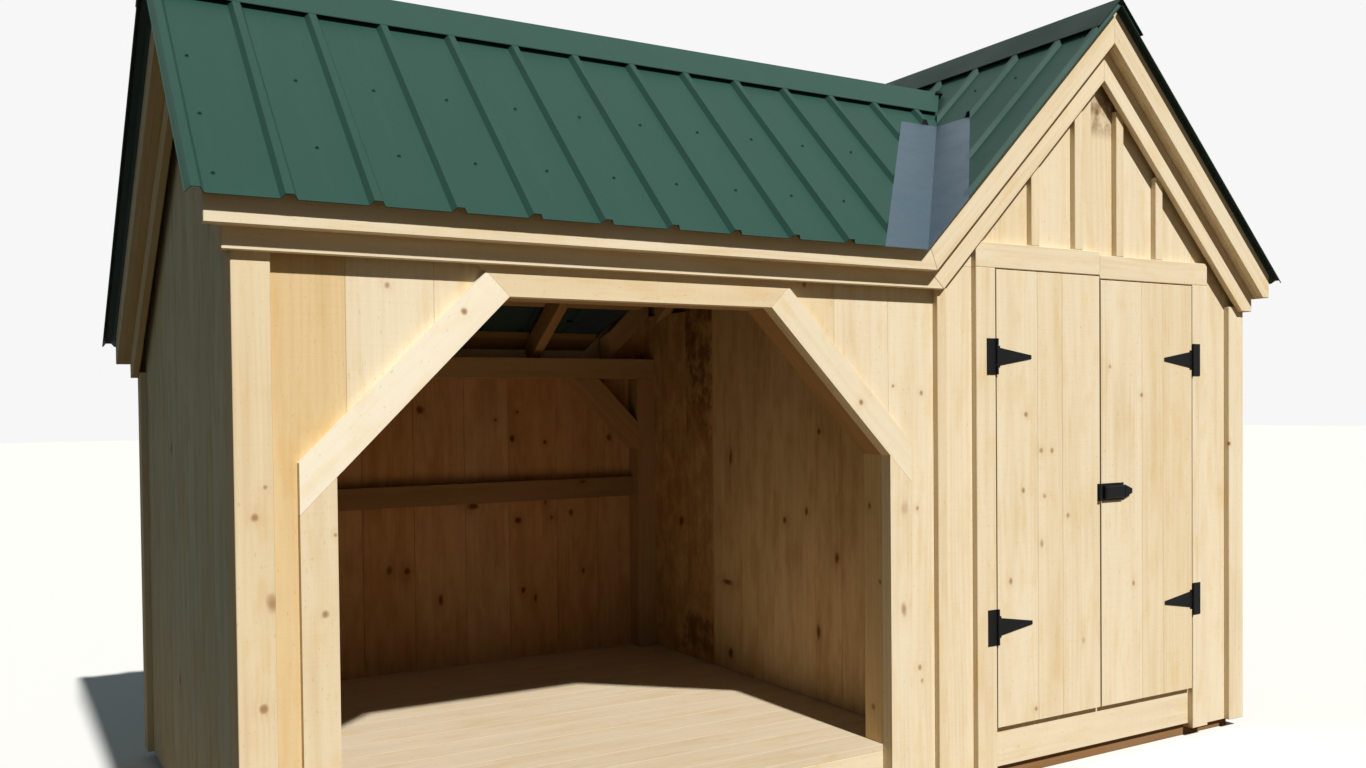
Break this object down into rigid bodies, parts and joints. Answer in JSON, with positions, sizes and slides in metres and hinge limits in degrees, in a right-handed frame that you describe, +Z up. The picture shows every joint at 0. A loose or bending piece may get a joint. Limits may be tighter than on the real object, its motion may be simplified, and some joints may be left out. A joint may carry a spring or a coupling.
{
  "type": "log store",
  "caption": "Timber log store with an open front bay, a gabled tool shed beside it with a pair of hinged doors, on skids, under a ribbed metal roof with a valley.",
  "frame": {"origin": "middle of the footprint on the ground, under the skids", "axes": "+X along the front from the open log bay to the tool shed, +Y from front to back, +Z up"},
  "size_m": [4.5138, 2.4468, 3.0517],
  "materials": {
    "pine_boards": "rough sawn, unfinished, with knots",
    "framing_timber": "rough sawn, unfinished",
    "green_roofing": "semi-gloss green coating",
    "bare_flashing": "bare galvanised",
    "black_hardware": "matte black"
  },
  "bodies": {
    "building": {"front_bay_wall": "pine_boards", "front_shed_wall": "pine_boards", "left_wall": "pine_boards", "rear_wall": "pine_boards", "right_wall": "pine_boards", "partition_wall": "pine_boards", "corner_boards": "pine_boards", "bay_casings": "pine_boards", "door_casings": "pine_boards", "door_apron": "pine_boards", "gable_battens": "pine_boards", "front_trim_outer": "pine_boards", "front_trim_inner": "pine_boards", "rear_trim_outer": "pine_boards", "rear_trim_inner": "pine_boards", "side_trim_outer": "pine_boards", "side_trim_inner": "pine_boards", "skids": "framing_timber", "floor_frame": "framing_timber", "floor_boards": "framing_timber", "posts": "framing_timber", "beams_and_plates": "framing_timber", "girts": "framing_timber", "knee_braces": "framing_timber", "main_rafters": "framing_timber", "shed_rafters": "framing_timber", "ridge_boards": "framing_timber", "main_purlins": "framing_timber", "shed_purlins": "framing_timber", "roof_edge_blocking": "framing_timber", "main_roof_front": "green_roofing", "main_roof_rear": "green_roofing", "shed_roof_left": "green_roofing", "shed_roof_right": "green_roofing", "main_ridge_cap": "green_roofing", "shed_ridge_cap": "green_roofing", "valley_flashing": "bare_flashing", "hinge_butts": "black_hardware"},
    "left_leaf": {"left_door": "pine_boards", "left_hinge_straps": "black_hardware", "latch_keeper": "black_hardware"},
    "right_leaf": {"right_door": "pine_boards", "right_hinge_straps": "black_hardware", "latch": "black_hardware"}
  },
  "joints": [
    {"name": "left_door_hinge", "type": "hinge", "parent": "building", "child": "left_leaf", "pos_m": [0.614, -1.1065, 1.1185], "axis": [0, 0, -1], "range_deg": [0, 150]},
    {"name": "right_door_hinge", "type": "hinge", "parent": "building", "child": "right_leaf", "pos_m": [1.779, -1.1065, 1.1185], "axis": [0, 0, 1], "range_deg": [0, 150]}
  ]
}
